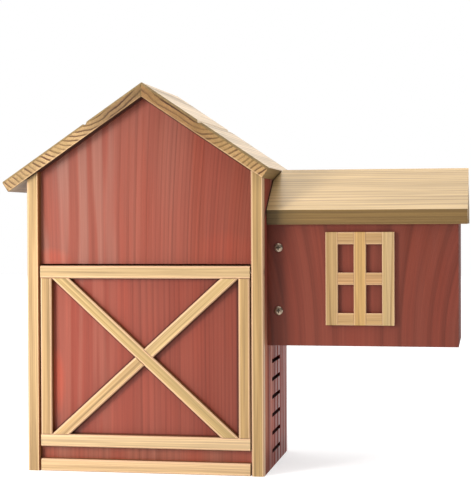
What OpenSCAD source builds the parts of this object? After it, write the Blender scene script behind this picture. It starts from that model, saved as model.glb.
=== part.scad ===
// Squirrel house with a barn front, a door that swings out, and an entrance wing with its own roof.
// The origin is the middle of the main body's underside: X runs to the wing, Y to the back, Z up.

/* [Main body] */
// Width across the side walls
body_w = 300; // [280:1:330]
// Depth from the faces of the corner trims to the back
body_d = 200; // [190:1:240]
// Height of the side walls at their outer faces
eave_h = 364; // [355:1:390]
// Pitch of both roofs in degrees
pitch = 34; // [31:0.5:36]
// Thickness of the side walls, the back and the floor
wall_t = 12; // [10:0.5:14]
// Thickness of the red boards of the front and of the wing
panel_t = 10; // [8:0.5:12]

/* [Front trims] */
// Thickness of the corner trims, the base trim and the door frame
trim_t = 10; // [9:0.5:12]
// Width of the corner trims, the base trim and the door rails
trim_w = 15.5; // [14:0.5:18]
// Chamfer on the front edges of every trim
ease = 1.5; // [0.5:0.1:2]

/* [Door] */
// Height of the door's bottom edge
door_z = 31; // [28:0.5:34]
// Height of the door's top edge
door_top = 257; // [250:1:262]
// Width of the door's stiles
stile_w = 14.5; // [12:0.5:17]
// Width of the crossed braces
brace_w = 15; // [12:0.5:17]
// Gap at each side of the door
side_gap = 1.5; // [1:0.1:2.5]
// Gap over the door
top_gap = 2; // [1.5:0.1:3]
// Gap under the door
bottom_gap = 1.5; // [1.2:0.1:2]
// Width of the stop cleats behind the door's edges
stop_w = 12; // [10:0.5:16]
// Depth of the stop cleats from front to back
stop_t = 12; // [8:0.5:16]

/* [Main roof] */
// Thickness of the roof boards
roof_t = 15; // [13:0.5:17]
// Overhang in front of the trims
roof_front = 8; // [4:0.5:14]
// Overhang beyond the left wall at the underside
roof_left = 21.5; // [12:0.5:30]
// Overhang beyond the right wall at the underside
roof_right = 0; // [0:0.5:4]
// Distance of the V groove from the ridge, down the slope
groove_u = 87.5; // [60:0.5:110]
// Depth of the V groove
groove_d = 3; // [2:0.25:4]
// Chamfer along the front edges of the roof boards
roof_ease = 2.5; // [1:0.1:3]

/* [Entrance and ladder] */
// Radius of the round entrance in the right wall
hole_r = 37.5; // [32:0.5:38]
// Height of the middle of the entrance
hole_z = 255; // [250:1:262]
// Height of the lowest ladder cut
kerf_z = 20.5; // [18:0.5:26]
// Spacing of the ladder cuts
kerf_pitch = 22.8; // [20:0.1:28]
// Length of a ladder cut
kerf_l = 68; // [50:1:80]
// Height of a ladder cut
kerf_h = 5; // [3.5:0.25:6.5]
// Depth of a ladder cut
kerf_d = 7; // [4:0.25:8]

/* [Wing] */
// Height of the wing's underside
wing_z = 158; // [150:1:166]
// Height of the wing's front and back walls at their outer faces
wing_side_h = 154; // [148:1:158]
// Length of the wing's walls from the right wall of the body
wing_l = 234; // [210:1:260]
// Width of the wing from front to back
wing_w = 140; // [132:1:150]
// Overhang of the wing's eaves at the front and back
wing_over = 7; // [5:0.5:12]
// Overhang of the wing's roof at its free end
wing_end_over = 11; // [5:0.5:18]
// Length of the way in, open in the wing's floor beside the body
opening_l = 90; // [80:1:110]
// Gap between the wing's roof and the body
scribe_gap = 1; // [0.5:0.1:1.5]
// Width of the wing's cleats along X
cleat_w = 28; // [24:1:32]
// Thickness of the wing's cleats along Y
cleat_t = 15; // [12:0.5:15]

/* [Window] */
// Distance of the window's middle from the right wall
window_x = 115; // [105:1:125]
// Height of the window's middle above the wing's underside
window_z = 83; // [78:1:88]
// Width of each pane
pane_w = 19.5; // [16:0.5:24]
// Height of each pane
pane_h = 34.5; // [28:0.5:38]
// Width of the window's bars
window_bar = 15; // [12:0.5:18]
// Thickness of the window's bars
window_t = 6; // [4:0.5:8]
// Chamfer on the front edges of the window's bars
window_ease = 0.5; // [0.3:0.1:1.2]

/* [Fasteners and holes] */
// Shank radius of the wing's screws
screw_r = 2; // [1.75:0.05:2.25]
// Head radius of the wing's screws
screw_head_r = 5.5; // [4.5:0.05:5.75]
// Distance of the wing's screws from the right wall
screw_x = 14; // [12:0.5:16]
// Height of the lower wing screws above the wing's underside
screw_low = 43; // [35:1:50]
// Height of the upper wing screws above the wing's underside
screw_high = 121; // [112:1:128]
// Shank radius of the pivot and back screws
pivot_r = 1.75; // [1.5:0.05:2]
// Head radius of the pivot and back screws
pivot_head_r = 3.5; // [3.2:0.05:3.8]
// Radial clearance of a screw in its hole
bore_gap = 0.05; // [0.02:0.01:0.1]
// Radius of the two holes for hanging in the back
hang_r = 3.25; // [2.5:0.25:4]
// Height of the lower hanging hole
hang_low = 60; // [50:1:80]
// Height of the upper hanging hole
hang_high = 230; // [210:1:250]
// Radius of the drain holes in the floor
drain_r = 4; // [3:0.5:5]
// Distance of the drain holes from the edges of the floor
drain_inset = 30; // [25:1:45]
// Radius of the vent holes in the left wall
vent_r = 5; // [4:0.5:7]
// Distance of the vent holes below the eave
vent_drop = 34; // [28:1:45]
// Spacing of the vent holes
vent_pitch = 40; // [30:1:50]
// Radius of the magnet in the door catch
magnet_r = 5; // [4:0.5:6]
// Height of the magnet above the door's bottom edge
magnet_up = 14; // [12:0.5:20]

/* [Hidden] */
$fn = 64;

red_stain = [0.63, 0.31, 0.27];
pale_wood = [0.88, 0.76, 0.55];
steel = [0.72, 0.71, 0.69];

// Planes of the body from front to back
front_y = -body_d / 2;
panel_y = front_y + trim_t;
inner_y = panel_y + panel_t;
back_y = body_d / 2;
back_in_y = back_y - wall_t;

// Planes of the body from the middle to the right
half_w = body_w / 2;
wall_in_x = half_w - wall_t;
trim_in_x = half_w - trim_w;
door_x = trim_in_x - side_gap;
stile_in_x = door_x - stile_w;
stop_in_x = wall_in_x - stop_w;

// The underside of the main roof, and the outer line of its ridge
function roof_under(x) = eave_h + (half_w - abs(x)) * tan(pitch);
roof_v = roof_t / cos(pitch);
ridge_z = roof_under(0) + roof_v;
roof_ease_side = roof_ease * sqrt(2);

// The top length of a main roof board whose underside overhangs the wall by this much
function slope_len(over) = (half_w + over + roof_t * sin(pitch)) / cos(pitch);

// The door's frame: heights inside the rails, the pivot line and the braces' angle
rail_low_z = door_z + trim_w;
rail_top_z = door_top - trim_w;
frame_w = 2 * stile_in_x;
frame_h = rail_top_z - rail_low_z;
frame_z = (rail_top_z + rail_low_z) / 2;
frame_diag = sqrt(frame_w * frame_w + frame_h * frame_h);
brace_a = atan(frame_h / frame_w) + asin(brace_w / frame_diag);
pivot_y = front_y + trim_t / 2;
pivot_z = door_top - trim_w / 2;
// The door's top back edge sinks as it turns, so the stops end this far below the rail
stop_play = 2.5;
stop_top = rail_top_z - stop_play;

// The wing: planes along X, across Y, and its roof
wing_x0 = half_w;
wing_x1 = half_w + wing_l;
wing_roof_x0 = half_w + scribe_gap / 2;
wing_roof_x1 = wing_x1 + wing_end_over;
wing_half = wing_w / 2;
wing_in_y = wing_half - panel_t;
wing_eave_z = wing_z + wing_side_h;
function wing_under(y) = wing_eave_z + (wing_half - abs(y)) * tan(pitch);
cleat_y = wing_in_y - cleat_t;
cleat_foot = 7;
cleat_head = 10;
cleat_low = wing_z + cleat_foot;
cleat_top = wing_eave_z - cleat_head;
opening_x = wing_x0 + opening_l;

// As many ladder cuts as fit below the entrance and the wood left under it
hole_rim = 10;
kerf_count = floor((hole_z - hole_r - hole_rim - kerf_z) / kerf_pitch) + 1;

// The window's height over all
window_h = 3 * window_bar + 2 * pane_h;

// Screws: heads, cross recesses, how far each bites into the second board, and the bore past its point
screw_head_h = 2.6;
screw_rim = 0.6;
pivot_head_h = 2.2;
recess_d = 1.5;
recess_share = 0.28;
pivot_bite = 18;
back_bite = 20;
back_screw_end = 40;
point_cover = 1;
bore_spare = 0.5;
screw_len = panel_t + cleat_t - point_cover;
pivot_len = trim_w + side_gap + pivot_bite;
back_screw_len = wall_t + back_bite;
back_screw_z = [back_screw_end, eave_h / 2, eave_h - back_screw_end];

// The catch: the magnet sits a little below the face of its block
magnet_len = 6;
magnet_sunk = 0.2;
magnet_z = door_z + magnet_up;
strike_rim = 3;
strike_r = magnet_r + strike_rim;
strike_t = 1.5;
catch_wall = 8;
catch_w = 6 * magnet_r;
catch_t = magnet_len + catch_wall;
catch_top = magnet_z + magnet_r + catch_wall;

// How far a cutting shape reaches past the face it cuts
cut = 1;

// A prism along Y with its outline in X and Z
module prism_y(points, y0, y1) {
    translate([0, y1, 0])
        rotate([90, 0, 0])
            linear_extrude(y1 - y0)
                polygon(points);
}

// A prism along X with its outline in Y and Z
module prism_x(points, x0, x1) {
    translate([x0, 0, 0])
        rotate([90, 0, 90])
            linear_extrude(x1 - x0)
                polygon(points);
}

// A block between two corners
module block(low, high) {
    translate(low)
        cube(high - low);
}

// A bar along X with its back at y = 0 and its two front edges chamfered by c
module bar(len, w, t, c = ease) {
    rotate([90, 0, 90])
        linear_extrude(len, center = true)
            polygon([
                [0, -w / 2],
                [0, w / 2],
                [c - t, w / 2],
                [-t, w / 2 - c],
                [-t, c - w / 2],
                [c - t, -w / 2]
            ]);
}

// The same bar standing up
module post(len, w, t, c = ease) {
    rotate([0, 90, 0])
        bar(len, w, t, c);
}

// A round hole or pin along X, Y or Z
module rod_x(r, x0, x1) {
    translate([x0, 0, 0])
        rotate([0, 90, 0])
            cylinder(r = r, h = x1 - x0);
}

module rod_y(r, y0, y1) {
    translate([0, y0, 0])
        rotate([-90, 0, 0])
            cylinder(r = r, h = y1 - y0);
}

// A cross recess for a driver, cut into a head that faces -Z
module cross_recess(size) {
    for (turn = [0, 90])
        rotate([0, 0, turn])
            cube([size, recess_share * size, 2 * recess_d], center = true);
}

// A countersunk screw that enters along +Z, with its head flush at z = 0
module flush_screw(len) {
    difference() {
        rotate_extrude()
            polygon([
                [0, 0],
                [pivot_head_r, 0],
                [pivot_r, pivot_head_h],
                [pivot_r, len - 2 * pivot_r],
                [0, len]
            ]);
        cross_recess(pivot_head_r);
    }
}

// The hole that this screw runs in
module flush_hole(len) {
    translate([0, 0, -cut])
        cylinder(r = pivot_r + bore_gap, h = len + cut);
    cylinder(r1 = pivot_head_r + bore_gap, r2 = pivot_r + bore_gap, h = pivot_head_h);
    translate([0, 0, -cut])
        cylinder(r = pivot_head_r + bore_gap, h = cut);
}

// A domed screw that enters along +Z, with its head on the surface at z = 0
module domed_screw(len) {
    dome = [
        for (a = [90 : -15 : 0])
            [screw_head_r * cos(a), (screw_rim - screw_head_h) * sin(a) - screw_rim]
    ];
    shank = [
        [screw_head_r, 0],
        [screw_r, 0],
        [screw_r, len - 2 * screw_r],
        [0, len]
    ];
    difference() {
        rotate_extrude()
            polygon(concat(dome, shank));
        translate([0, 0, -screw_head_h])
            cross_recess(screw_head_r);
    }
}

// Places for the screws that go in through the sides, the back and the wing
module at_pivots() {
    for (side = [-1, 1])
        translate([side * half_w, pivot_y, pivot_z])
            rotate([0, -90 * side, 0])
                children();
}

module at_back_screws() {
    for (side = [-1, 1])
        for (z = back_screw_z)
            translate([side * (half_w - wall_t / 2), back_y, z])
                rotate([90, 0, 0])
                    children();
}

module at_wing_screws(side) {
    for (up = [screw_low, screw_high])
        translate([wing_x0 + screw_x, side * wing_half, wing_z + up])
            rotate([90 * side, 0, 0])
                children();
}

module wing_screw_holes(side) {
    at_wing_screws(side)
        translate([0, 0, -cut])
            cylinder(r = screw_r + bore_gap, h = cut + screw_len + bore_spare);
}

// The floor sits between the walls and drains at its corners
module floor_board() {
    drain_x = wall_in_x - drain_inset;
    color(red_stain)
        difference() {
            block([-wall_in_x, inner_y, 0], [wall_in_x, back_in_y, wall_t]);
            for (x = [-drain_x, drain_x])
                for (y = [inner_y + drain_inset, back_in_y - drain_inset])
                    translate([x, y, -cut])
                        cylinder(r = drain_r, h = wall_t + 2 * cut);
        }
}

// A side wall at the left, with its top cut to the pitch
module side_wall() {
    prism_y([
        [-half_w, 0],
        [-wall_in_x, 0],
        [-wall_in_x, roof_under(wall_in_x)],
        [-half_w, eave_h]
    ], panel_y, back_in_y);
}

module back_screw_holes() {
    at_back_screws()
        flush_hole(back_screw_len + bore_spare);
}

module left_wall() {
    color(red_stain)
        difference() {
            side_wall();
            for (n = [-1, 0, 1])
                translate([0, n * vent_pitch, eave_h - vent_drop])
                    rod_x(vent_r, -half_w - cut, cut - wall_in_x);
            back_screw_holes();
        }
}

// A routed slot with round ends, level across the right wall's outer face
module ladder_cut() {
    reach = (kerf_l - kerf_h) / 2;
    block([half_w - kerf_d, -reach, -kerf_h / 2], [half_w + cut, reach, kerf_h / 2]);
    for (side = [-1, 1])
        translate([0, side * reach, 0])
            rod_x(kerf_h / 2, half_w - kerf_d, half_w + cut);
}

// The right wall carries the ladder cuts and the round entrance into the wing
module right_wall() {
    color(red_stain)
        difference() {
            mirror([1, 0, 0])
                side_wall();
            translate([0, 0, hole_z])
                rod_x(hole_r, wall_in_x - cut, half_w + cut);
            for (n = [0 : kerf_count - 1])
                translate([0, 0, kerf_z + n * kerf_pitch])
                    ladder_cut();
            back_screw_holes();
        }
}

module back_panel() {
    color(red_stain)
        difference() {
            prism_y([
                [-half_w, 0],
                [half_w, 0],
                [half_w, eave_h],
                [0, roof_under(0)],
                [-half_w, eave_h]
            ], back_in_y, back_y);
            for (z = [hang_low, hang_high])
                translate([0, 0, z])
                    rod_y(hang_r, back_in_y - cut, back_y + cut);
            back_screw_holes();
        }
}

// The fixed front above the door
module gable_panel() {
    color(red_stain)
        prism_y([
            [-wall_in_x, door_top + top_gap],
            [wall_in_x, door_top + top_gap],
            [wall_in_x, roof_under(wall_in_x)],
            [0, roof_under(0)],
            [-wall_in_x, roof_under(wall_in_x)]
        ], panel_y, inner_y);
}

// The fixed strip under the door
module sill_panel() {
    color(red_stain)
        block([-wall_in_x, panel_y, 0], [wall_in_x, inner_y, door_z - bottom_gap]);
}

// A corner trim at the left, cut to the pitch under the roof and bored for the door's pivot
module corner_trim() {
    difference() {
        intersection() {
            translate([-half_w + trim_w / 2, panel_y, roof_under(trim_in_x) / 2])
                post(roof_under(trim_in_x), trim_w, trim_t);
            prism_y([
                [-half_w, 0],
                [-trim_in_x, 0],
                [-trim_in_x, roof_under(trim_in_x)],
                [-half_w, eave_h]
            ], front_y, panel_y);
        }
        at_pivots()
            flush_hole(pivot_len);
    }
}

module left_corner_trim() {
    color(pale_wood)
        corner_trim();
}

module right_corner_trim() {
    color(pale_wood)
        mirror([1, 0, 0])
            corner_trim();
}

module base_trim() {
    color(pale_wood)
        translate([0, panel_y, trim_w / 2])
            bar(2 * door_x, trim_w, trim_t);
}

// The cleats that the closed door rests against
module stop_cleat() {
    block([-wall_in_x, inner_y, wall_t], [-stop_in_x, inner_y + stop_t, stop_top]);
}

module left_stop_cleat() {
    color(pale_wood)
        stop_cleat();
}

module right_stop_cleat() {
    color(pale_wood)
        mirror([1, 0, 0])
            stop_cleat();
}

// A main roof board at the right: mitred at the ridge, square at the eave, one V groove on top.
// It is drawn level, with the ridge's outer line at the origin, and then tipped to the pitch.
module roof_board(over) {
    len = slope_len(over);
    translate([0, 0, ridge_z])
        rotate([0, pitch, 0])
            difference() {
                prism_y([
                    [0, 0],
                    [groove_u - groove_d, 0],
                    [groove_u, -groove_d],
                    [groove_u + groove_d, 0],
                    [len, 0],
                    [len, -roof_t],
                    [roof_t * tan(pitch), -roof_t]
                ], front_y - roof_front, back_y);
                translate([len / 2, front_y - roof_front, 0])
                    rotate([45, 0, 0])
                        cube([2 * len, roof_ease_side, roof_ease_side], center = true);
            }
}

module roof_left() {
    color(pale_wood)
        mirror([1, 0, 0])
            roof_board(roof_left);
}

module roof_right() {
    color(pale_wood)
        roof_board(roof_right);
}

// The door: a red board behind a pale frame with crossed braces
module door_panel() {
    color(red_stain)
        difference() {
            block([-door_x, panel_y, door_z], [door_x, inner_y, door_top]);
            translate([0, 0, magnet_z])
                rod_y(strike_r + bore_gap, inner_y - strike_t, inner_y + cut);
        }
}

module door_top_rail() {
    color(pale_wood)
        difference() {
            translate([0, panel_y, pivot_z])
                bar(2 * door_x, trim_w, trim_t);
            at_pivots()
                cylinder(r = pivot_r + bore_gap, h = pivot_len + bore_spare);
        }
}

module door_bottom_rail() {
    color(pale_wood)
        translate([0, panel_y, door_z + trim_w / 2])
            bar(2 * door_x, trim_w, trim_t);
}

module door_stile(side) {
    color(pale_wood)
        translate([side * (door_x - stile_w / 2), panel_y, frame_z])
            post(frame_h, stile_w, trim_t);
}

// The space inside the door's frame that the braces fill from corner to corner
module frame_space() {
    block([-stile_in_x, front_y - cut, rail_low_z], [stile_in_x, panel_y + cut, rail_top_z]);
}

module brace(angle) {
    translate([0, panel_y, frame_z])
        rotate([0, angle, 0])
            bar(frame_w + frame_h, brace_w, trim_t);
}

module door_long_brace() {
    color(pale_wood)
        intersection() {
            brace(brace_a);
            frame_space();
        }
}

// The crossing brace is in two pieces that butt against the long one
module short_brace(side) {
    color(pale_wood)
        intersection() {
            brace(-brace_a);
            frame_space();
            translate([0, front_y - cut, frame_z])
                rotate([0, brace_a, 0])
                    translate([-body_w, 0, side > 0 ? brace_w / 2 : -body_w - brace_w / 2])
                        cube([2 * body_w, trim_t + 2 * cut, body_w]);
        }
}

// The catch: a steel disc in the door meets a magnet in a block on the floor
module catch_strike() {
    color(steel)
        translate([0, 0, magnet_z])
            rod_y(strike_r, inner_y - strike_t, inner_y);
}

module catch_block() {
    color(pale_wood)
        difference() {
            block([-catch_w / 2, inner_y, wall_t], [catch_w / 2, inner_y + catch_t, catch_top]);
            translate([0, 0, magnet_z])
                rod_y(magnet_r + bore_gap, inner_y - cut, inner_y + magnet_len);
        }
}

module catch_magnet() {
    color(steel)
        translate([0, 0, magnet_z])
            rod_y(magnet_r, inner_y + magnet_sunk, inner_y + magnet_len);
}

module pivot_screws() {
    color(steel)
        at_pivots()
            flush_screw(pivot_len);
}

module back_screws() {
    color(steel)
        at_back_screws()
            flush_screw(back_screw_len);
}

// A wing wall at the front, with its top cut to the pitch
module wing_side(side) {
    color(red_stain)
        difference() {
            prism_x([
                [side * wing_half, wing_z],
                [side * wing_in_y, wing_z],
                [side * wing_in_y, wing_under(wing_in_y)],
                [side * wing_half, wing_eave_z]
            ], wing_x0, wing_x1);
            wing_screw_holes(side);
        }
}

module wing_end_wall() {
    color(red_stain)
        prism_x([
            [-wing_in_y, wing_z],
            [wing_in_y, wing_z],
            [wing_in_y, wing_under(wing_in_y)],
            [0, wing_under(0)],
            [-wing_in_y, wing_under(wing_in_y)]
        ], wing_x1 - panel_t, wing_x1);
}

// The wing's floor stops short of the body, and the gap is the way in from the ladder
module wing_floor() {
    color(red_stain)
        block([opening_x, -wing_in_y, wing_z], [wing_x1 - panel_t, wing_in_y, wing_z + panel_t]);
}

// The upright cleats on the body's wall that the wing is screwed to
module wing_cleat(side) {
    color(pale_wood)
        difference() {
            block(
                [wing_x0, min(side * cleat_y, side * wing_in_y), cleat_low],
                [wing_x0 + cleat_w, max(side * cleat_y, side * wing_in_y), cleat_top]
            );
            wing_screw_holes(side);
        }
}

module wing_screws() {
    color(steel)
        for (side = [-1, 1])
            at_wing_screws(side)
                domed_screw(screw_len);
}

// The main roof's right edge with a gap all round it, which the wing's roof is scribed to
module scribed_edge() {
    translate([0, 0, ridge_z])
        rotate([0, pitch, 0])
            translate([0, -body_d, -roof_t - scribe_gap])
                cube([slope_len(roof_right) + scribe_gap, 2 * body_d, roof_t + 2 * scribe_gap]);
}

// A wing roof board: mitred at the ridge, plumb at the eave, scribed to the main roof
module wing_roof(side) {
    eave_y = wing_half + wing_over;
    color(pale_wood)
        difference() {
            prism_x([
                [0, wing_under(0)],
                [0, wing_under(0) + roof_v],
                [side * eave_y, wing_under(eave_y) + roof_v],
                [side * eave_y, wing_under(eave_y)]
            ], wing_roof_x0, wing_roof_x1);
            scribed_edge();
        }
}

// The window's bars, laid on the wing's front wall
module window_post(x) {
    color(pale_wood)
        translate([wing_x0 + window_x + x, -wing_half, wing_z + window_z])
            post(window_h, window_bar, window_t, window_ease);
}

module window_rail_pair(z) {
    color(pale_wood)
        for (side = [-1, 1])
            translate([
                wing_x0 + window_x + side * (window_bar + pane_w) / 2,
                -wing_half,
                wing_z + window_z + z
            ])
                bar(pane_w, window_bar, window_t, window_ease);
}

floor_board();  // floor
left_wall();
right_wall();
back_panel();
gable_panel();
sill_panel();
left_corner_trim();
right_corner_trim();
base_trim();
left_stop_cleat();
right_stop_cleat();
roof_left();
roof_right();
door_panel();
door_top_rail();
door_bottom_rail();
door_stile(-1);  // door_left_stile
door_stile(1);  // door_right_stile
door_long_brace();
short_brace(-1);  // door_lower_brace
short_brace(1);  // door_upper_brace
catch_strike();
catch_block();
catch_magnet();
pivot_screws();
back_screws();
wing_side(-1);  // wing_front_wall
wing_side(1);  // wing_back_wall
wing_end_wall();
wing_floor();
wing_cleat(-1);  // wing_front_cleat
wing_cleat(1);  // wing_back_cleat
wing_roof(-1);  // wing_roof_front
wing_roof(1);  // wing_roof_back
wing_screws();
window_post(-window_bar - pane_w);  // window_left_stile
window_post(window_bar + pane_w);  // window_right_stile
window_post(0);  // window_mullion
window_rail_pair(window_bar + pane_h);  // window_top_rails
window_rail_pair(0);  // window_middle_rails
window_rail_pair(-window_bar - pane_h);  // window_bottom_rails
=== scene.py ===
import math

import bmesh
import bpy
from mathutils import Matrix, Vector


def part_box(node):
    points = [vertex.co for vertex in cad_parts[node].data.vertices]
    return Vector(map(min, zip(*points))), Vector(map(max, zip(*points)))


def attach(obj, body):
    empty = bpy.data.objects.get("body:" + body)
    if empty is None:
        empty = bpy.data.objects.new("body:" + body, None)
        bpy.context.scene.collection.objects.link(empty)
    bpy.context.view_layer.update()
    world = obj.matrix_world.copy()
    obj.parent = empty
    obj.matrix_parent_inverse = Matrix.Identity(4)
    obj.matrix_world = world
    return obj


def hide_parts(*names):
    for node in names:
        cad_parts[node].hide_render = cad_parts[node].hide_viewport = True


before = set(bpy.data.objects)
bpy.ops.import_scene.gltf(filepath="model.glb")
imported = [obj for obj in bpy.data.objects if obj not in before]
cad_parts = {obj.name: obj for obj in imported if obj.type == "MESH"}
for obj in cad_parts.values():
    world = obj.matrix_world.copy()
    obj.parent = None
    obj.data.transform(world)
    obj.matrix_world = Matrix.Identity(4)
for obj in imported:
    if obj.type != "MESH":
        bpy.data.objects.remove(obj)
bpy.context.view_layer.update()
print("frame loaded:", len(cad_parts), "nodes")

# the pitch of both roofs, and measures taken from the frame in metres
pitch = math.radians(34)
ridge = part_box("roof_left")[1].z
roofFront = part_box("roof_left")[0].y
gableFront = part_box("gable_panel")[0].y
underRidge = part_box("gable_panel")[1].z
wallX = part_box("right_wall")[1].x
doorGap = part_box("left_corner_trim")[1].x
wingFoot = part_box("wing_front_wall")[0].z
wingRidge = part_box("wing_roof_front")[1].z

# the braces run corner to corner inside the door's frame
doorFrame = {
    "half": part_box("door_right_stile")[0].x,
    "low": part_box("door_bottom_rail")[1].z,
    "top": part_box("door_top_rail")[0].z,
    "brace": 0.015,  # width
}
insideTall = doorFrame["top"] - doorFrame["low"]
insideMiddle = (doorFrame["top"] + doorFrame["low"]) / 2
acrossCorners = math.hypot(insideTall, 2 * doorFrame["half"])
braceTurn = math.atan2(insideTall, 2 * doorFrame["half"]) + math.asin(doorFrame["brace"] / acrossCorners)

# turns that lay the fibres along a board
upright = (0.0, 0.0, 0.0)
sideways = (0.0, math.pi / 2, 0.0)
falling = (0.0, math.pi / 2 + braceTurn, 0.0)
rising = (0.0, math.pi / 2 - braceTurn, 0.0)


def middle(node):
    low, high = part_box(node)
    return (low + high) / 2


# a point so far down a slope of the main roof, and so far out from it
def slopePoint(side, down, out):
    return (side * (down * math.cos(pitch) + out * math.sin(pitch)), 0.0,
            ridge - down * math.sin(pitch) + out * math.cos(pitch))


# camera, from edges and corners measured in the photo
cameraView = {
    "place": (0.41911, -1.79025, 0.31259),
    "turnLeft": 10.178,  # degrees, as the next two are
    "tipDown": 0.792,
    "roll": 0.246,
    "lens": 105.59,
    "reach": 50,
}


def makeCamera(view):
    turn = math.radians(view["turnLeft"])
    tip = math.radians(view["tipDown"])
    roll = math.radians(view["roll"])
    ahead = Vector((-math.sin(turn) * math.cos(tip), math.cos(turn) * math.cos(tip), -math.sin(tip)))
    right = Vector((math.cos(turn), math.sin(turn), 0))
    up = right.cross(ahead)
    tippedRight = math.cos(roll) * right - math.sin(roll) * up
    tippedUp = math.sin(roll) * right + math.cos(roll) * up
    data = bpy.data.cameras.new("camera")
    data.lens = view["lens"]
    data.clip_end = view["reach"]
    camera = bpy.data.objects.new("camera", data)
    bpy.context.scene.collection.objects.link(camera)
    turned = Matrix((tippedRight, tippedUp, -ahead)).transposed().to_4x4()
    camera.matrix_world = Matrix.Translation(view["place"]) @ turned
    bpy.context.scene.camera = camera


makeCamera(cameraView)
print("camera set")


# small helpers for shader nodes
def newNode(tree, kind, **settings):
    node = tree.nodes.new(kind)
    for key, value in settings.items():
        setattr(node, key, value)
    return node


def feed(tree, socket, value):
    if isinstance(value, bpy.types.NodeSocket):
        tree.links.new(value, socket)
    else:
        socket.default_value = value


def calc(tree, operation, a, b=0.0, clamp=False):
    node = newNode(tree, "ShaderNodeMath", operation=operation, use_clamp=clamp)
    feed(tree, node.inputs[0], a)
    feed(tree, node.inputs[1], b)
    return node.outputs[0]


def product(tree, value, *others):
    for other in others:
        value = calc(tree, "MULTIPLY", value, other)
    return value


def mixColours(tree, share, a, b, blend="MIX"):
    node = newNode(tree, "ShaderNodeMix", data_type="RGBA", blend_type=blend)
    feed(tree, node.inputs["Factor"], share)
    feed(tree, node.inputs["A"], a)
    feed(tree, node.inputs["B"], b)
    return node.outputs["Result"]


def tint(tree, colour, tone, share=1.0):
    return mixColours(tree, share, colour, (*tone, 1.0), "MULTIPLY")


def spread(tree, value, low, high, newLow=0.0, newHigh=1.0):
    node = newNode(tree, "ShaderNodeMapRange", interpolation_type="SMOOTHSTEP")
    feed(tree, node.inputs["Value"], value)
    feed(tree, node.inputs["From Min"], low)
    feed(tree, node.inputs["From Max"], high)
    feed(tree, node.inputs["To Min"], newLow)
    feed(tree, node.inputs["To Max"], newHigh)
    return node.outputs["Result"]


# 1 from start to end and 0 elsewhere, with soft sides
def between(tree, value, start, end, soft):
    rise = spread(tree, value, start - soft, start + soft)
    fall = spread(tree, value, end - soft, end + soft, 1.0, 0.0)
    return calc(tree, "MULTIPLY", rise, fall)


def splitUp(tree, vector):
    apart = newNode(tree, "ShaderNodeSeparateXYZ")
    tree.links.new(vector, apart.inputs[0])
    return apart.outputs["X"], apart.outputs["Y"], apart.outputs["Z"]


# noise with so many waves in a metre across and along the fibres
def stretchedNoise(tree, place, across, along, detail=2.0):
    scaled = newNode(tree, "ShaderNodeVectorMath", operation="MULTIPLY")
    feed(tree, scaled.inputs[0], place)
    scaled.inputs[1].default_value = (across, across, along)
    noise = newNode(tree, "ShaderNodeTexNoise")
    tree.links.new(scaled.outputs[0], noise.inputs["Vector"])
    noise.inputs["Scale"].default_value = 1.0
    noise.inputs["Detail"].default_value = detail
    noise.inputs["Roughness"].default_value = 0.5
    return noise.outputs["Fac"]


def srgb(red, green, blue):
    def linear(value):
        value /= 255
        return value / 12.92 if value <= 0.04045 else ((value + 0.055) / 1.055) ** 2.4
    return (linear(red), linear(green), linear(blue), 1.0)


# growth rings round the Z axis of the board's own coordinates: light early wood to a dark late line
ringShape = {
    "stops": ((0.0, 0.0), (0.50, 0.04), (0.83, 0.85), (0.91, 1.0), (1.0, 0.0)),
    "faintest": 0.4,
    "slowWaves": (7.0, 1.1),  # in a metre, across and along
    "fineWaves": (55.0, 5.0),
}
# what else shows along the fibres: waves across and along, detail, and the noise that counts as 0 and as 1
grainShape = {
    "Fibres": (760, 9, 2, 0.3, 0.7),
    "Streaks": (230, 2.4, 3, 0.28, 0.72),
    "Bands": (72, 3.0, 1, 0.42, 0.56),
    "Clouds": (34, 1.6, 2, 0.32, 0.68),
    "Patches": (15, 6.5, 1, 0.4, 0.65),
}
# rings of an ordinary board: metres apart, metres of wander, share of fine wander, a share under 1 that lays
# the rings left of the heart long and flat, and flare with the square of the height
plainRings = {"spacing": 0.0034, "wander": 0.02, "uneven": 0.12, "squeeze": 1.0, "flare": 0.0}


def flaredPlace(group, given):
    across, depth, height = splitUp(group, given["Place"])
    widening = calc(group, "ADD", 1.0, product(group, height, height, given["Flare"]))
    across = calc(group, "DIVIDE", across, widening)
    together = newNode(group, "ShaderNodeCombineXYZ")
    for socket, value in zip(together.inputs, (across, depth, height)):
        group.links.new(value, socket)
    return together.outputs[0], across, depth


def ringRadius(group, place, across, depth, given, shape):
    left = calc(group, "MULTIPLY", calc(group, "MINIMUM", across, 0.0), given["Squeeze"])
    x = calc(group, "ADD", calc(group, "MAXIMUM", across, 0.0), left)
    square = calc(group, "ADD", product(group, x, x), product(group, depth, depth))
    radius = calc(group, "SQRT", square)
    slow = calc(group, "SUBTRACT", stretchedNoise(group, place, *shape["slowWaves"], detail=1.0), 0.5)
    fine = calc(group, "SUBTRACT", stretchedNoise(group, place, *shape["fineWaves"]), 0.5)
    bend = calc(group, "ADD", slow, calc(group, "MULTIPLY", fine, given["Uneven"]))
    return calc(group, "ADD", radius, calc(group, "MULTIPLY", bend, given["Wander"]))


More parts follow.
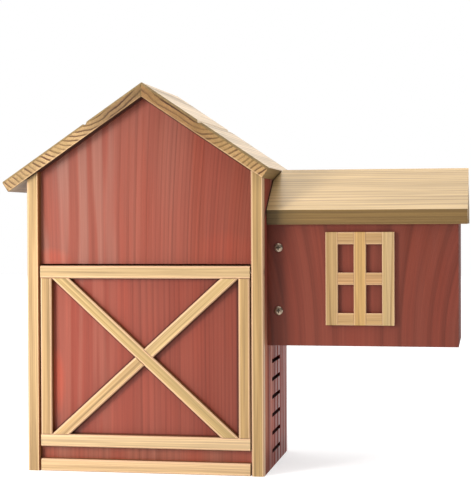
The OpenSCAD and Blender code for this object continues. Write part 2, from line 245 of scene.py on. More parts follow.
# each ring has a strength of its own
def ringLines(group, phase, shape):
    ramp = newNode(group, "ShaderNodeValToRGB")
    group.links.new(calc(group, "FRACT", phase), ramp.inputs["Fac"])
    stops = ramp.color_ramp.elements
    while len(stops) < len(shape["stops"]):
        stops.new(0.5)
    for stop, (position, value) in zip(stops, shape["stops"]):
        stop.position = position
        stop.color = (value, value, value, 1.0)
    strength = newNode(group, "ShaderNodeTexWhiteNoise", noise_dimensions="1D")
    group.links.new(calc(group, "FLOOR", phase), strength.inputs["W"])
    strengths = spread(group, strength.outputs["Value"], 0, 1, shape["faintest"], 1)
    return calc(group, "MULTIPLY", ramp.outputs["Color"], strengths)


def makeSoftwood(rings, grain):
    group = bpy.data.node_groups.new("softwood", "ShaderNodeTree")
    group.interface.new_socket("Place", in_out="INPUT", socket_type="NodeSocketVector")
    for name in plainRings:
        group.interface.new_socket(name.capitalize(), in_out="INPUT", socket_type="NodeSocketFloat")
    for name in ("Rings", *grain):
        group.interface.new_socket(name, in_out="OUTPUT", socket_type="NodeSocketFloat")
    given = newNode(group, "NodeGroupInput").outputs
    result = newNode(group, "NodeGroupOutput").inputs
    place, across, depth = flaredPlace(group, given)
    radius = ringRadius(group, place, across, depth, given, rings)
    phase = calc(group, "DIVIDE", radius, given["Spacing"])
    group.links.new(ringLines(group, phase, rings), result["Rings"])
    for name, (wavesAcross, wavesAlong, detail, low, high) in grain.items():
        noise = stretchedNoise(group, place, wavesAcross, wavesAlong, detail)
        group.links.new(spread(group, noise, low, high), result[name])
    return group


softwood = makeSoftwood(ringShape, grainShape)


def startMaterial(name, specular, roughness=0.4):
    material = bpy.data.materials.new(name)
    material.use_nodes = True
    tree = material.node_tree
    tree.nodes.clear()
    shader = newNode(tree, "ShaderNodeBsdfPrincipled")
    shader.inputs["Roughness"].default_value = roughness
    shader.inputs["Specular IOR Level"].default_value = specular
    output = newNode(tree, "ShaderNodeOutputMaterial")
    tree.links.new(shader.outputs[0], output.inputs["Surface"])
    return material, tree, shader


def objectPlace(tree):
    return newNode(tree, "ShaderNodeTexCoord").outputs["Object"]


# the board's own coordinates: from the heart of the tree, with the fibres along Z
def boardPlace(tree, heart, along):
    mapping = newNode(tree, "ShaderNodeMapping", vector_type="TEXTURE")
    tree.links.new(objectPlace(tree), mapping.inputs["Vector"])
    mapping.inputs["Location"].default_value = heart
    mapping.inputs["Rotation"].default_value = along
    return mapping.outputs[0]


def woodGrain(tree, heart, along, rings):
    grain = newNode(tree, "ShaderNodeGroup", node_tree=softwood)
    tree.links.new(boardPlace(tree, heart, along), grain.inputs["Place"])
    for name in plainRings:
        grain.inputs[name.capitalize()].default_value = rings[name]
    return grain.outputs


def addBump(tree, shader, height, strength, distance):
    bump = newNode(tree, "ShaderNodeBump")
    bump.inputs["Strength"].default_value = strength
    bump.inputs["Distance"].default_value = distance
    feed(tree, bump.inputs["Height"], height)
    tree.links.new(bump.outputs[0], shader.inputs["Normal"])


# rings and fibres stand a little proud
def addGrainBump(tree, shader, grain, ringShare, strength, distance):
    rings = calc(tree, "MULTIPLY", grain["Rings"], ringShare)
    fibres = calc(tree, "MULTIPLY", grain["Fibres"], 1 - ringShare)
    addBump(tree, shader, calc(tree, "ADD", rings, fibres), strength, distance)


# natural pine, with paler sanded edges and darker sawn ones
paleWood = {
    "early": srgb(181, 151, 106),
    "late": srgb(128, 97, 54),
    "olive": srgb(150, 126, 78),
    "bleached": srgb(222, 193, 155),
    "sanded": srgb(212, 174, 133),
    "eased": srgb(193, 156, 124),
    "easedDull": srgb(176, 140, 110),
    "sawn": srgb(78, 56, 28),
    "shaded": srgb(118, 101, 80),
    # painted shade for the underside over the gable, turning redder towards the gable
    "underShade": srgb(40, 18, 10),
    "underShadeRed": srgb(116, 54, 40),
    "darkSide": srgb(104, 46, 16),
    "ringLine": srgb(84, 50, 22),
    "fibreShades": (0.84, 1.10),
    "streakDark": 0.24,
    "streakPale": 0.10,
    "rimFade": (0.25, 1.0),
    "underShadeSoft": 0.003,
    "ringBump": 0.6,
    "bumpDepth": 0.0002,
}
# how a board looks unless it says otherwise; shades are start, end and tone away from the middle, both ways
paleLook = {
    "rings": plainRings,
    "ringDepth": 0.6,
    "early": "early",
    "late": "late",
    "olives": 0.55,
    "streaks": 1.0,
    "tone": (1, 1, 1),
    "edge": None,
    "edgeShare": 0.75,
    "rimmed": False,
    "shades": (),
    "within": None,
    "roughness": 0.5,
    "specular": 0.35,
    "relief": 0.35,
}


# painted shade on the underside over the gable, redder where it meets it
def paintUnderShade(tree, colour, out, back, within):
    soft = paleWood["underShadeSoft"]
    red = spread(tree, back, *within["redFrom"])
    shadeColour = mixColours(tree, red, paleWood["underShade"], paleWood["underShadeRed"])
    share = spread(tree, out, within["out"] - soft, within["out"] + soft, 1.0, 0.0)
    return mixColours(tree, share, colour, shadeColour)


def makePale(name, heart, along, **changes):
    look = {**paleLook, **changes}
    material, tree, shader = startMaterial(name, look["specular"], look["roughness"])
    grain = woodGrain(tree, heart, along, look["rings"])
    share = calc(tree, "MULTIPLY", grain["Rings"], look["ringDepth"], clamp=True)
    colour = mixColours(tree, share, paleWood[look["early"]], paleWood[look["late"]])
    colour = mixColours(tree, product(tree, grain["Clouds"], look["olives"]), colour, paleWood["olive"])
    dark = 1 - paleWood["streakDark"] * look["streaks"]
    pale = 1 + paleWood["streakPale"] * look["streaks"]
    fibres = spread(tree, grain["Fibres"], 0, 1, *paleWood["fibreShades"])
    streaks = spread(tree, grain["Streaks"], 0, 1, dark, pale)
    colour = mixColours(tree, 1.0, colour, product(tree, fibres, streaks), "MULTIPLY")
    colour = tint(tree, colour, look["tone"])
    if look["edge"]:
        colour = mixColours(tree, look["edgeShare"], colour, paleWood[look["edge"]])
    if look["rimmed"]:
        rim = newNode(tree, "ShaderNodeAttribute", attribute_name="rim")
        share = product(tree, spread(tree, rim.outputs["Fac"], *paleWood["rimFade"]), look["edgeShare"])
        colour = mixColours(tree, share, colour, paleWood["sanded"])
    if look["shades"] or look["within"]:
        x, y = splitUp(tree, objectPlace(tree))[:2]
        out = calc(tree, "ABSOLUTE", x)
    for start, end, shade in look["shades"]:
        colour = tint(tree, colour, shade, spread(tree, out, start, end))
    if look["within"]:
        colour = paintUnderShade(tree, colour, out, y, look["within"])
    tree.links.new(colour, shader.inputs["Base Color"])
    addGrainBump(tree, shader, grain, paleWood["ringBump"], look["relief"], paleWood["bumpDepth"])
    return material


# red stain over the same softwood, glossier along some bands of the grain
redStain = {
    "base": srgb(121, 55, 41),
    "deep": srgb(76, 32, 19),
    "pink": srgb(133, 85, 71),
    "orange": srgb(145, 53, 35),
    "fibreShades": (0.95, 1.04),
    "streakShades": (1.05, 0.94),
    "smoothSoft": 0.015,
    "smoothHides": 0.6,  # this share of the rings
    "bandTop": (0.12, 0.26),
    "bandFoot": (0.005, 0.07, 0.3, 1.0),
    # painted shadow under the gable's right slope and along the top of the wing's roof
    "shadowColour": srgb(36, 14, 8),
    "roofShadowStrength": 0.85,
    "roofShadowWidth": (0.0012, 0.0036),
    "roofShadowStart": (-0.004, 0.004),
    "lineStrength": 0.9,
    "lineWidth": (0.0015, 0.0055),
    "lineStart": (-0.004, -0.002),
    # painted contact shadow beside the door's trims
    "beside": srgb(40, 14, 4),
    "besideStart": 0.0004,
    "glossStretch": 1.2,
    "glossNoise": (0.38, 0.62),
    "dullSoft": 0.012,
    "dullRoughness": 0.9,
    "relief": 0.25,
    "ringBump": 0.5,
    "bumpDepth": 0.00015,
}
# how a board looks unless it says otherwise; fades are start, end and tone along X, bandsBack are start, end,
# softness and tone along Y, and spots are x, z, half the width, half the height and tone
redLook = {
    **plainRings,
    "spacing": 0.004,
    "wander": 0.008,
    "turn": upright,
    "bare": (0, 0, 0),
    "ringDepth": 0.34,
    "pink": 0.45,
    "orange": 0.3,
    "smoothTo": -1.0,
    "paintedSheenBands": 0.0,
    "tone": (1, 1, 1),
    "fades": (),
    "bandsBack": (),
    "spots": (),
    "roofShadow": False,
    "roofLine": None,
    "beside": (),
    "gloss": (0.5, 0.3),
    "glossWaves": 45,
    "dullTo": None,
    "specular": 0.3,
}


# left of smoothTo the board is smooth with pale upright bands of painted sheen, and right of it finely lined
def stainedGrain(tree, grain, x, look):
    soft = redStain["smoothSoft"]
    smooth = spread(tree, x, look["smoothTo"] - soft, look["smoothTo"] + soft, 1.0, 0.0)
    lined = calc(tree, "SUBTRACT", 1.0, smooth)
    clouds = product(tree, grain["Clouds"], look["pink"], lined)
    bands = product(tree, grain["Bands"], look["paintedSheenBands"], smooth)
    colour = mixColours(tree, calc(tree, "ADD", clouds, bands), redStain["base"], redStain["pink"])
    colour = mixColours(tree, product(tree, grain["Patches"], look["orange"]), colour, redStain["orange"])
    shown = calc(tree, "SUBTRACT", 1.0, product(tree, smooth, redStain["smoothHides"]))
    depth = calc(tree, "MULTIPLY", shown, look["ringDepth"])
    colour = mixColours(tree, product(tree, grain["Rings"], depth), colour, redStain["deep"])
    fibres = spread(tree, grain["Fibres"], 0, 1, *redStain["fibreShades"])
    streaks = spread(tree, grain["Streaks"], 0, 1, *redStain["streakShades"])
    return mixColours(tree, 1.0, colour, product(tree, fibres, streaks), "MULTIPLY")


def spotShare(tree, x, z, centreX, centreZ, wide, tall):
    right = calc(tree, "DIVIDE", calc(tree, "SUBTRACT", x, centreX), wide)
    up = calc(tree, "DIVIDE", calc(tree, "SUBTRACT", z, centreZ), tall)
    away = calc(tree, "ADD", product(tree, right, right), product(tree, up, up))
    return spread(tree, away, 0.0, 1.0, 1.0, 0.0)


# the board's tone with fades along X, bands along Y and spots; these carry painted light, shade and sheen as
# well as colour
def tonedStain(tree, colour, x, y, z, look):
    colour = tint(tree, colour, look["tone"])
    for start, end, tone in look["fades"]:
        colour = tint(tree, colour, tone, spread(tree, x, start, end))
    for start, end, soft, tone in look["bandsBack"]:
        top = spread(tree, z, *redStain["bandTop"], 1.0, 0.0)
        foot = spread(tree, z, *redStain["bandFoot"])
        share = product(tree, between(tree, y, start, end, soft), top, foot)
        colour = tint(tree, colour, tone, share)
    for *spot, tone in look["spots"]:
        colour = tint(tree, colour, tone, spotShare(tree, x, z, *spot))
    return colour


# painted shadow along the right slope of the gable, by the height of the roof's underside over the point
def paintRoofShadow(tree, colour, x, z):
    drop = calc(tree, "MULTIPLY", calc(tree, "ABSOLUTE", x), math.tan(pitch))
    below = calc(tree, "SUBTRACT", calc(tree, "SUBTRACT", underRidge, drop), z)
    share = calc(tree, "MULTIPLY", spread(tree, below, *redStain["roofShadowWidth"], redStain["roofShadowStrength"], 0.0),
                 spread(tree, x, *redStain["roofShadowStart"]))
    return mixColours(tree, share, colour, redStain["shadowColour"])


# painted shadow on the wall along the top of the wing's roof
def paintRoofLineShadow(tree, colour, y, z, roofLine):
    drop = calc(tree, "MULTIPLY", calc(tree, "ABSOLUTE", y), math.tan(pitch))
    above = calc(tree, "SUBTRACT", calc(tree, "ADD", z, drop), roofLine)
    share = calc(tree, "MULTIPLY", spread(tree, above, *redStain["lineWidth"], redStain["lineStrength"], 0.0),
                 spread(tree, above, *redStain["lineStart"]))
    return mixColours(tree, share, colour, redStain["shadowColour"])


# painted contact shadow beside a trim
def besideStain(tree, colour, strip):
    dot = newNode(tree, "ShaderNodeVectorMath", operation="DOT_PRODUCT")
    dot.inputs[1].default_value = strip["across"]
    tree.links.new(objectPlace(tree), dot.inputs[0])
    centre = strip["across"][2] * insideMiddle + (strip["start"] + strip["end"]) / 2
    away = calc(tree, "ABSOLUTE", calc(tree, "SUBTRACT", dot.outputs["Value"], centre))
    away = product(tree, calc(tree, "SUBTRACT", away, (strip["end"] - strip["start"]) / 2), strip["side"])
    share = spread(tree, away, redStain["besideStart"], strip["width"], strip["strength"], 0.0)
    return mixColours(tree, share, colour, redStain["beside"])


def makeRed(name, look):
    material, tree, shader = startMaterial(name, look["specular"])
    grain = woodGrain(tree, look["heart"], look["turn"], look)
    x, y, z = splitUp(tree, objectPlace(tree))
    colour = stainedGrain(tree, grain, x, look)
    colour = tonedStain(tree, colour, x, y, z, look)
    if look["roofShadow"]:
        colour = paintRoofShadow(tree, colour, x, z)
    if look["roofLine"] is not None:
        colour = paintRoofLineShadow(tree, colour, y, z, look["roofLine"])
    for strip in look["beside"]:
        colour = besideStain(tree, colour, strip)
    tree.links.new(colour, shader.inputs["Base Color"])
    place = boardPlace(tree, look["heart"], look["turn"])
    shine = stretchedNoise(tree, place, look["glossWaves"], redStain["glossStretch"])
    roughness = spread(tree, shine, *redStain["glossNoise"], *look["gloss"])
    if look["dullTo"] is not None:
        soft = redStain["dullSoft"]
        dull = spread(tree, y, look["dullTo"] - soft, look["dullTo"] + soft, redStain["dullRoughness"], 0.0)
        roughness = calc(tree, "MAXIMUM", roughness, dull)
    tree.links.new(roughness, shader.inputs["Roughness"])
    addGrainBump(tree, shader, grain, redStain["ringBump"], redStain["relief"], redStain["bumpDepth"])
    return material


# zinc-plated screws and the small steel parts of the catch
steelFinish = {
    "colour": srgb(186, 168, 148),
    "worn": srgb(128, 110, 92),
    "waves": 900,  # in a metre
    "wornNoise": (0.35, 0.7),
    "roughNoise": (0.3, 0.7),
    "roughness": (0.3, 0.5),
    "specular": 0.5,
    "relief": 0.15,
    "bumpDepth": 0.0001,
    "recess": 0.25,  # brightness
}


def makeSteel(name, brightness, finish=steelFinish):
    material, tree, shader = startMaterial(name, finish["specular"])
    shader.inputs["Metallic"].default_value = 1.0
    noise = stretchedNoise(tree, objectPlace(tree), finish["waves"], finish["waves"], detail=4)
    worn = spread(tree, noise, *finish["wornNoise"])
    colour = mixColours(tree, worn, finish["colour"], finish["worn"])
    colour = tint(tree, colour, (brightness, brightness, brightness))
    tree.links.new(colour, shader.inputs["Base Color"])
    roughness = spread(tree, noise, *finish["roughNoise"], *finish["roughness"])
    tree.links.new(roughness, shader.inputs["Roughness"])
    addBump(tree, shader, noise, finish["relief"], finish["bumpDepth"])
    return material


# a board is a copy of its CAD node with eased edges; radii in metres
easing = {
    "sharpAngle": 25.0,
    "flatAngle": 0.3,
    "segments": 2,
    "red": 0.0005,
    "trim": 0.0003,
    "mainRoof": 0.0012,
    "wingRoof": 0.0006,
    "screw": 0.0001,
}


# the rim attribute is 1 along the outermost edges in a direction and fades to 0 over the width
def markRims(shape, direction, width, bothSides):
    heights = [vert.co.dot(direction) for vert in shape.verts]
    lines = [(min(heights), width), (max(heights), -width)][:2 if bothSides else 1]
    for line, step in lines:
        bmesh.ops.bisect_plane(shape, geom=[*shape.verts, *shape.edges, *shape.faces], dist=1e-6,
                               plane_co=direction * (line + step), plane_no=direction)
    rim = shape.verts.layers.float.new("rim")
    for vert in shape.verts:
        height = vert.co.dot(direction)
        vert[rim] = 1.0 if any(abs(height - line) < width / 2 for line, step in lines) else 0.0


# faceIndex picks each face's material, edgeIndex each eased edge's, and rims are markRims' last values
def easedCopy(node, body, materials, radius, faceIndex=None, rims=None, edgeIndex=None):
    shape = bmesh.new()
    shape.from_mesh(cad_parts[node].data)
    bmesh.ops.remove_doubles(shape, verts=shape.verts, dist=1e-6)
    bmesh.ops.dissolve_limit(shape, angle_limit=math.radians(easing["flatAngle"]),
                             verts=shape.verts, edges=shape.edges)
    for face in shape.faces:
        face.material_index = faceIndex(face) if faceIndex else 0
    if rims:
        markRims(shape, *rims)
    sharp = [edge for edge in shape.edges
             if len(edge.link_faces) == 2 and edge.calc_face_angle(0) > math.radians(easing["sharpAngle"])]
    eased = bmesh.ops.bevel(shape, geom=sharp, offset=radius, offset_type="OFFSET", affect="EDGES",
                            segments=easing["segments"], profile=0.5, material=-1, clamp_overlap=True)
    for face in eased["faces"] if edgeIndex else ():
        face.material_index = edgeIndex(face)
    for face in shape.faces:
        face.smooth = True
    mesh = bpy.data.meshes.new(node + "_eased")
    shape.to_mesh(mesh)
    shape.free()
    for material in materials:
        mesh.materials.append(material)
    piece = bpy.data.objects.new(node + "_eased", mesh)
    bpy.context.scene.collection.objects.link(piece)
    weighted = piece.modifiers.new("flat faces", "WEIGHTED_NORMAL")
    weighted.weight = 100
    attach(piece, body)
    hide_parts(node)
    return piece


# a face looks along an axis when that part of its normal is more than this
faceOn = 0.9
doorNodes = ("door_panel", "door_top_rail", "door_bottom_rail", "door_left_stile", "door_right_stile",
             "door_long_brace", "door_lower_brace", "door_upper_brace")


def bodyOf(node):
    return "door" if node in doorNodes else "house"


# where painted contact shadow lies beside the door's trims: start and end lie across them, moved off a trim's
# edge as in the photo, and side is 1 for shadow outside the two and -1 for shadow between them
half = doorFrame["half"]
halfBrace = doorFrame["brace"] / 2
besideTrims = [
    {"across": (math.sin(braceTurn), 0, math.cos(braceTurn)), "side": 1,
     "start": -halfBrace - 0.0025, "end": halfBrace, "width": 0.0014, "strength": 0.45},
    {"across": (math.sin(braceTurn), 0, -math.cos(braceTurn)), "side": 1,
     "start": -halfBrace - 0.001, "end": halfBrace, "width": 0.0024, "strength": 0.72},
    {"across": (1, 0, 0), "side": -1,
     "start": -half - 0.0016, "end": half - 0.0026, "width": 0.0022, "strength": 0.65},
    {"across": (0, 0, 1), "side": -1,
     "start": -insideTall / 2, "end": insideTall / 2, "width": 0.0022, "strength": 0.65},
]

# red boards: heart of the tree as x, y, z in metres, the grain's turn, and the side left bare inside
wingTone = (0.8, 0.8, 0.8)
redBoards = {
    "gable_panel": {
        "heart": (-0.05, -0.03, 0.2), "flare": 2.0, "bare": (0, 1, 0),
        "ringDepth": 0.42, "pink": 0.25, "orange": 0.15, "smoothTo": -0.034, "paintedSheenBands": 0.5,
        # with a painted shadow along the right slope under the roof
        "tone": (1.09, 1.25, 1.29), "roofShadow": True,
        # painted light falling off darker to the right, and a pinker painted sheen to the left
        "fades": [(-0.04, 0.12, (0.87, 0.745, 0.67)), (-0.05, -0.11, (1.0, 1.08, 1.09))],
        "spots": [(-0.125, 0.262, 0.035, 0.020, (1.32, 0.97, 0.86)),
                  (0.10, 0.270, 0.045, 0.035, (1.13, 1.04, 1.0))],
    },
    "door_panel": {
        # painted contact shadow beside the trims
        "heart": (-0.06, 0.02, 0), "bare": (0, 1, 0), "beside": besideTrims,
        "ringDepth": 0.42, "pink": 0.15, "orange": 0.12, "smoothTo": -0.045, "paintedSheenBands": 0.35,
        "tone": (1.12, 1.11, 1.11),
        # painted light falling off darker to the right, and less green and blue towards the left
        "fades": [(-0.03, 0.11, (0.82, 0.74, 0.68)), (-0.05, -0.10, (1.02, 0.93, 0.90))],
        "spots": [(-0.116, 0.110, 0.014, 0.05, (1.40, 1.02, 0.86))],
    },
    "sill_panel": {
        "heart": (0.05, 0.05, 0), "tone": (1.25, 1.35, 1.2),
        "fades": [(-0.05, 0.1, (1.0, 1.1, 1.16))],
    },
    "left_wall": {"heart": (0.10, -0.02, 0), "bare": (1, 0, 0)},
    "right_wall": {
        "heart": (-0.08, 0.01, 0), "bare": (-1, 0, 0), "tone": (0.90, 0.74, 0.71),
        "gloss": (0.85, 0.3), "glossWaves": 105, "specular": 0.17, "dullTo": -0.052,
        # a painted shade along the wall's foot
        "spots": [(0.15, 0.0, 0.1, 0.035, (0.72, 0.66, 0.66))],
        # a painted shadow along the top of the wing's roof
        "roofLine": wingRidge,
        # pale bands of painted sheen: a strip by the front edge and one across the ladder
        "bandsBack": [(-0.12, -0.072, 0.004, (1.9, 3.4, 3.2)),
                      (-0.049, -0.023, 0.006, (2.0, 3.2, 3.5))],
    },
    "back_panel": {"heart": (0.03, -0.02, 0), "bare": (0, -1, 0)},
    "floor": {"heart": (0.0, 0.02, -0.05), "turn": sideways, "bare": (0, 0, 1)},
    "wing_front_wall": {
        "heart": (0.262, -0.035, wingFoot), "flare": 14.0, "spacing": 0.0161, "wander": 0.006,
        "bare": (0, 1, 0), "ringDepth": 0.38, "pink": 0.12, "orange": 0.1, "tone": (0.86, 0.82, 0.75),
        # painted shadow of the house darkening the left end, and darker towards the right end
        "fades": [(0.22, 0.155, (0.76, 0.66, 0.58)), (0.27, 0.32, (0.92, 0.93, 0.95))],
    },
    "wing_back_wall": {"heart": (0.22, 0.03, wingFoot), "flare": 8.0, "spacing": 0.012, "tone": wingTone,
                       "bare": (0, -1, 0)},
    "wing_end_wall": {"heart": (0.30, 0.02, wingFoot), "gloss": (0.8, 0.6), "tone": wingTone,
                      "bare": (-1, 0, 0)},
    "wing_floor": {"heart": (0.3, 0.02, wingFoot - 0.05), "turn": sideways, "tone": wingTone,
                   "bare": (0, 0, 1)},
}
# sawn ends drink the stain on the wing, and the ladder's cuts in the body's wall are painted darker yet, as
# painted shade in the cuts
redEnds = {
    "wing": (0.6, 0.6, 0.6),
    "body": (0.3, 0.12, 0.08),
    "gloss": (0.95, 0.8),
    "cutDepth": (0.001, 0.0072),
    "bareRoughness": 0.75,
}


# 0 is the stained face, 1 a sawn end or cut, and 2 the bare inside
def redFace(face, bare, isWing):
    if face.normal.dot(Vector(bare)) > faceOn:
        return 2
    shallow, deep = redEnds["cutDepth"]
    inCut = shallow < wallX - face.calc_center_median().x < deep
    isEnd = abs(face.normal.x) > faceOn
    return int(isEnd if isWing else inCut)


for node, changes in redBoards.items():
    look = {**redLook, **changes}
    isWing = node.startswith("wing")
    darker = redEnds["wing" if isWing else "body"]
    endLook = {**look, "tone": [a * b for a, b in zip(look["tone"], darker)], "gloss": redEnds["gloss"]}
    bareWood = makePale("bare_" + node, look["heart"], look["turn"], roughness=redEnds["bareRoughness"])
    materials = [makeRed("red_" + node, look), makeRed("red_end_" + node, endLook), bareWood]
    easedCopy(node, bodyOf(node), materials, easing["red"],
              lambda face: redFace(face, look["bare"], isWing))
print("red boards done")

paleBoards = {
    "left_corner_trim": {"turn": upright, "tone": (0.90, 0.86, 0.86)},
    "right_corner_trim": {"turn": upright, "tone": (0.73, 0.69, 0.59), "edge": "easedDull"},
    "base_trim": {"turn": sideways, "tone": (1.17, 1.14, 1.30)},
    "door_top_rail": {"turn": sideways, "tone": (0.94, 0.94, 1.03)},
    "door_bottom_rail": {"turn": sideways, "tone": (1.12, 1.16, 1.38)},
    "door_left_stile": {"turn": upright, "tone": (0.83, 0.76, 0.73)},
    "door_right_stile": {"turn": upright, "tone": (0.81, 0.75, 0.66), "edge": "easedDull"},
    "door_long_brace": {"turn": falling, "tone": (1.0, 1.0, 0.97), "ringDepth": 1.1},
    "door_lower_brace": {"turn": rising, "tone": (1.05, 0.99, 1.02), "ringDepth": 1.1},
    "door_upper_brace": {"turn": rising, "tone": (1.18, 1.18, 1.22), "ringDepth": 1.0},
    "window_left_stile": {"turn": upright, "tone": (0.92, 0.86, 0.79)},
    "window_right_stile": {"turn": upright, "tone": (0.97, 0.98, 1.01)},
    "window_mullion": {"turn": upright, "tone": (1.03, 0.91, 0.72)},
    "window_top_rails": {"turn": sideways, "tone": (0.92, 0.83, 0.8)},
    "window_middle_rails": {"turn": sideways, "tone": (0.95, 0.81, 0.77)},
    "window_bottom_rails": {"turn": sideways, "tone": (1.03, 0.93, 0.9)},
    "left_stop_cleat": {"turn": upright},
    "right_stop_cleat": {"turn": upright},
    "catch_block": {"turn": sideways},
    "wing_front_cleat": {"turn": upright},
    "wing_back_cleat": {"turn": upright},
}
# what the pale boards share, with the window's own numbers beside the others
trimLook = {
    "streaks": 0.9,
    "windowStreaks": 0.5,
    "rimShare": 0.85,
    "windowRimShare": 0.25,
    "rimWidth": 0.0034,
    "sideShare": 0.8,
    "sideSpecular": 0.05,
    "gapSide": (-0.0025, 0.001),  # either side of the gap at the door's left
    "outside": 0.001,  # from the house's outer side
    "leaning": 0.3,  # of the normal, for an eased edge
}
# every board is sawn from its own place in front of the heart of the tree, in metres
sawnFrom = {"turn": 2.4, "aside": 0.02, "behind": 0.06, "sway": 0.01, "up": 0.013}


def heartBehind(node, number):
    centre = middle(node)
    return (centre.x + sawnFrom["aside"] * math.sin(sawnFrom["turn"] * number),
            centre.y + sawnFrom["behind"] + sawnFrom["sway"] * math.cos(number),
            centre.z + sawnFrom["up"] * number)


# 0 is the face, 1 a paler sanded edge, and 2 a darker side, also at the door's left
def trimFace(face):
    if abs(face.normal.y) > faceOn:
        return 0
    across = face.calc_center_median().x
    low, high = trimLook["gapSide"]
    outside = abs(across) > wallX - trimLook["outside"] and face.normal.x > faceOn
    atGap = doorGap + low < across < doorGap + high and face.normal.x > trimLook["leaning"]
    return 1 if (abs(face.normal.y) > trimLook["leaning"] or outside) and not atGap else 2


for number, (node, changes) in enumerate(paleBoards.items()):
    look = {"tone": (1, 1, 1), "ringDepth": paleLook["ringDepth"], "edge": "eased", **changes}
    place = (heartBehind(node, number), look["turn"])
    tone = look["tone"]
    isWindow = node.startswith("window")
    isTrim = "trim" in node or node.startswith("door") or isWindow
    front = makePale("pale_" + node, *place, ringDepth=look["ringDepth"], tone=tone, rimmed=True,
                     streaks=trimLook["windowStreaks" if isWindow else "streaks"],
                     edgeShare=trimLook["windowRimShare" if isWindow else "rimShare"])
    edge = makePale("pale_edge_" + node, *place, tone=tone, edge=look["edge"])
    side = makePale("pale_side_" + node, *place, tone=tone, edge="darkSide", edgeShare=trimLook["sideShare"],
                    specular=trimLook["sideSpecular"])
    across = Vector((math.cos(look["turn"][1]), 0, -math.sin(look["turn"][1])))
    easedCopy(node, bodyOf(node), [front, edge, side], easing["trim"],
              trimFace if isTrim else None, (across, trimLook["rimWidth"], True) if isTrim else None)
print("trims done")

# roof boards show end grain at the front; their sawn eaves and eased front edges are darker wood, and along
# the lower front edge this is also painted shade
roofRings = {**plainRings, "spacing": 0.0060, "wander": 0.020, "uneven": 0.25, "squeeze": 0.22}
wingRings = {**plainRings, "spacing": 0.0028, "wander": 0.006}
roofBoards = {
    "roof_left": {
        "heart": slopePoint(-1, 0.070, 0.040), "turn": (math.pi / 2, math.pi - pitch, 0),
        "rings": {**roofRings, "squeeze": 0.33},
        "tone": (1.06, 1.04, 1.0), "sawnTone": (1.2, 1.2, 1.0), "endTone": (0.84, 0.78, 0.75),
        "endShades": [(0.085, 0.038, (0.53, 0.48, 0.44)), (0.12, 0.145, (0.84, 0.84, 0.82))],
    },
    "roof_right": {
        "heart": slopePoint(1, 0.085, 0.018), "turn": (math.pi / 2, pitch, 0), "rings": roofRings,
        "tone": (1.14, 1.15, 1.18), "sawnTone": (1.2, 1.2, 1.0), "endTone": (0.85, 0.75, 0.66),
        "endShades": [(0.115, 0.065, (0.62, 0.545, 0.465))],
    },
    "wing_roof_front": {
        "heart": (0.27, -0.03, 0.22), "turn": sideways, "rings": wingRings,
        "tone": (0.74, 0.70, 0.57), "topDepth": 0.6, "sawnTone": (0.92, 0.84, 0.58),
        # painted light near the body, lightening the main roof's shadow
        "topPaintedLight": [(0.19, 0.12, (1.22, 1.20, 1.14))],
        # painted shade on the eave board near the body
        "sawnPaintedShade": [(0.21, 0.13, (0.50, 0.57, 0.68))],
    },
    "wing_roof_back": {
        "heart": (0.27, 0.03, 0.22), "turn": sideways, "rings": wingRings,
        "tone": (0.80, 0.76, 0.62), "topDepth": 0.6, "sawnTone": (0.92, 0.84, 0.58),
    },
}
# what a roof board has unless it says otherwise, and how its faces are finished
roofLook = {
    "topDepth": 0.8,
    "topPaintedLight": (),
    "endTone": (0.76, 0.66, 0.54),
    "endShades": (),
    "sawnPaintedShade": (),
}
roofFaces = {
    "top": {"early": "bleached", "streaks": 0.4, "roughness": 0.34, "olives": 0.3},
    "end": {"late": "ringLine", "ringDepth": 1.9, "streaks": 0.3, "relief": 0.1, "rimmed": True},
    "sawn": {"edge": "sawn", "edgeShare": 0.7},
    "rimWidth": 0.0028,
    # the undersides are painted greyer and darker, as painted shade
    "shadedMain": 0.6,
    "shadedWing": 0.7,
    "leaning": 0.3,  # of the normal, for an eased edge
    "eave": 0.7,
    "redFrom": (0.6, 1.2),  # shares of the overhang over the gable
}


# 0 is the top, 1 the end grain, 2 a sawn eave or eased front edge, and 3 the underside
def mainRoofFace(face):
    if abs(face.normal.y) > faceOn:
        return 1
    return mainRoofEdge(face)


def mainRoofEdge(face):
    if face.normal.y < -roofFaces["leaning"]:
        return 2
    if face.normal.z < 0:
        return 2 if abs(face.normal.x) > roofFaces["eave"] else 3
    return 0


def wingRoofFace(face):
    if abs(face.normal.y) > faceOn:
        return 2
    return 3 if face.normal.z < -roofFaces["leaning"] else 0


redStarts = [roofFront + share * (gableFront - roofFront) for share in roofFaces["redFrom"]]
underGable = {"out": wallX, "redFrom": redStarts}
for node, changes in roofBoards.items():
    look = {**roofLook, **changes}
    place = (look["heart"], look["turn"])
    rings = look["rings"]
    top = makePale("roof_" + node, *place, rings=rings, **roofFaces["top"], ringDepth=look["topDepth"],
                   tone=look["tone"], shades=look["topPaintedLight"])
    ends = makePale("roof_end_" + node, *place, rings=rings, **roofFaces["end"], tone=look["endTone"],
                    shades=look["endShades"])
    sawn = makePale("roof_sawn_" + node, *place, rings=rings, **roofFaces["sawn"], tone=look["sawnTone"],
                    shades=look["sawnPaintedShade"])
    if node.startswith("wing"):
        under = makePale("roof_under_" + node, *place, rings=rings, edge="shaded",
                         edgeShare=roofFaces["shadedWing"])
        easedCopy(node, "house", [top, ends, sawn, under], easing["wingRoof"], wingRoofFace)
    else:
        under = makePale("roof_under_" + node, *place, rings=rings, edge="shaded",
                         edgeShare=roofFaces["shadedMain"], within=underGable)
        side = -1 if node == "roof_left" else 1
        outward = Vector((side * math.sin(pitch), 0, math.cos(pitch)))
        easedCopy(node, "house", [top, ends, sawn, under], easing["mainRoof"], mainRoofFace,
                  (outward, roofFaces["rimWidth"], False), mainRoofEdge)
print("roofs done")

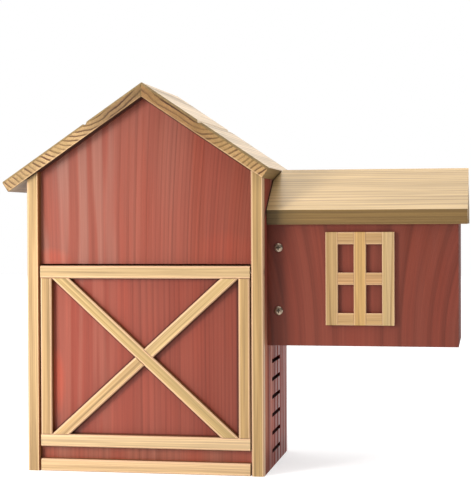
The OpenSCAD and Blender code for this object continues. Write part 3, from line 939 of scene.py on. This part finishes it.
steel = makeSteel("zinc_steel", 1.0)
for node in ("pivot_screws", "back_screws", "catch_magnet", "catch_strike"):
    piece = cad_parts[node]
    piece.data.materials.clear()
    piece.data.materials.append(steel)


# the cross recesses of the wing's screws are painted dark, as painted shade in the recesses; their faces look
# straight along an axis
def recessFace(face):
    return 1 if max(abs(part) for part in face.normal) > 0.998 else 0


recessSteel = makeSteel("recess_steel", steelFinish["recess"])
easedCopy("wing_screws", "house", [steel, recessSteel], easing["screw"], recessFace)
print("screws done")

# a white floor that glows a little, so that shadows on it stay faint
stage = {"floor": srgb(190, 190, 190), "glow": 0.60, "half": 6.0, "roughness": 0.9, "specular": 0.1}


def makeStage(look):
    shape = bmesh.new()
    bmesh.ops.create_grid(shape, x_segments=1, y_segments=1, size=look["half"])
    mesh = bpy.data.meshes.new("stage_floor")
    shape.to_mesh(mesh)
    shape.free()
    floorPiece = bpy.data.objects.new("stage_floor", mesh)
    bpy.context.scene.collection.objects.link(floorPiece)
    material, tree, shader = startMaterial("stage_floor", look["specular"], look["roughness"])
    shader.inputs["Base Color"].default_value = look["floor"]
    shader.inputs["Emission Color"].default_value = (1, 1, 1, 1)
    shader.inputs["Emission Strength"].default_value = look["glow"]
    mesh.materials.append(material)


makeStage(stage)

# a tall soft box near the left front, kept out of the sheen, a wide one on the left that shows in it, and a
# low one at the right
lightPlan = {
    "key": {"place": (-0.43, -0.80, 0.50), "aim": (-0.15, -0.1, 0.20), "size": (0.20, 0.40), "watts": 4.0,
            "spread": 135, "inSheen": False},
    "card": {"place": (-1.05, -1.45, 0.45), "aim": (-0.05, -0.1, 0.22), "size": (0.9, 0.9), "watts": 13.0},
    "side": {"place": (1.25, 0.10, 0.35), "aim": (0.15, 0.0, 0.15), "size": (0.6, 0.6), "watts": 3.0},
}
overhead = {"strength": 2.9, "width": 80, "towards": (0.12, 0.08, -1.0)}  # width in degrees


def aimedLight(name, data, towards):
    light = bpy.data.objects.new(name, data)
    light.rotation_euler = Vector(towards).to_track_quat("-Z", "Y").to_euler()
    bpy.context.scene.collection.objects.link(light)
    return light


def makeSoftBox(name, plan):
    data = bpy.data.lights.new(name, "AREA")
    data.shape = "RECTANGLE"
    data.size, data.size_y = plan["size"]
    data.energy = plan["watts"]
    data.spread = math.radians(plan.get("spread", 180))
    light = aimedLight(name, data, Vector(plan["aim"]) - Vector(plan["place"]))
    light.location = plan["place"]
    light.visible_glossy = plan.get("inSheen", True)


def makeOverhead(look):
    data = bpy.data.lights.new("overhead", "SUN")
    data.energy = look["strength"]
    data.angle = math.radians(look["width"])
    aimedLight("overhead", data, look["towards"])


for name, plan in lightPlan.items():
    makeSoftBox(name, plan)
makeOverhead(overhead)

# the camera sees a white studio, the sheen one that is dark in front, and the rest of the light is dimmer
studioWorld = {"seen": 1.0, "felt": 0.34, "sheenFront": 0.12, "sheenBack": 1.0, "turning": (-0.2, 0.4)}


def makeWorld(look):
    world = bpy.data.worlds.new("studio")
    world.use_nodes = True
    tree = world.node_tree
    tree.nodes.clear()
    path = newNode(tree, "ShaderNodeLightPath")
    ahead = splitUp(tree, newNode(tree, "ShaderNodeTexCoord").outputs["Generated"])[1]
    sheen = spread(tree, ahead, *look["turning"], look["sheenFront"] - look["felt"],
                   look["sheenBack"] - look["felt"])
    forCamera = calc(tree, "MULTIPLY", path.outputs["Is Camera Ray"], look["seen"] - look["felt"])
    forSheen = calc(tree, "MULTIPLY", path.outputs["Is Glossy Ray"], sheen)
    background = newNode(tree, "ShaderNodeBackground")
    background.inputs["Color"].default_value = (1, 1, 1, 1)
    strength = calc(tree, "ADD", look["felt"], calc(tree, "ADD", forCamera, forSheen))
    tree.links.new(strength, background.inputs["Strength"])
    output = newNode(tree, "ShaderNodeOutputWorld")
    tree.links.new(background.outputs[0], output.inputs["Surface"])
    return world


scene = bpy.context.scene
scene.world = makeWorld(studioWorld)
scene.view_settings.view_transform = "Standard"
print("stage and lights done")
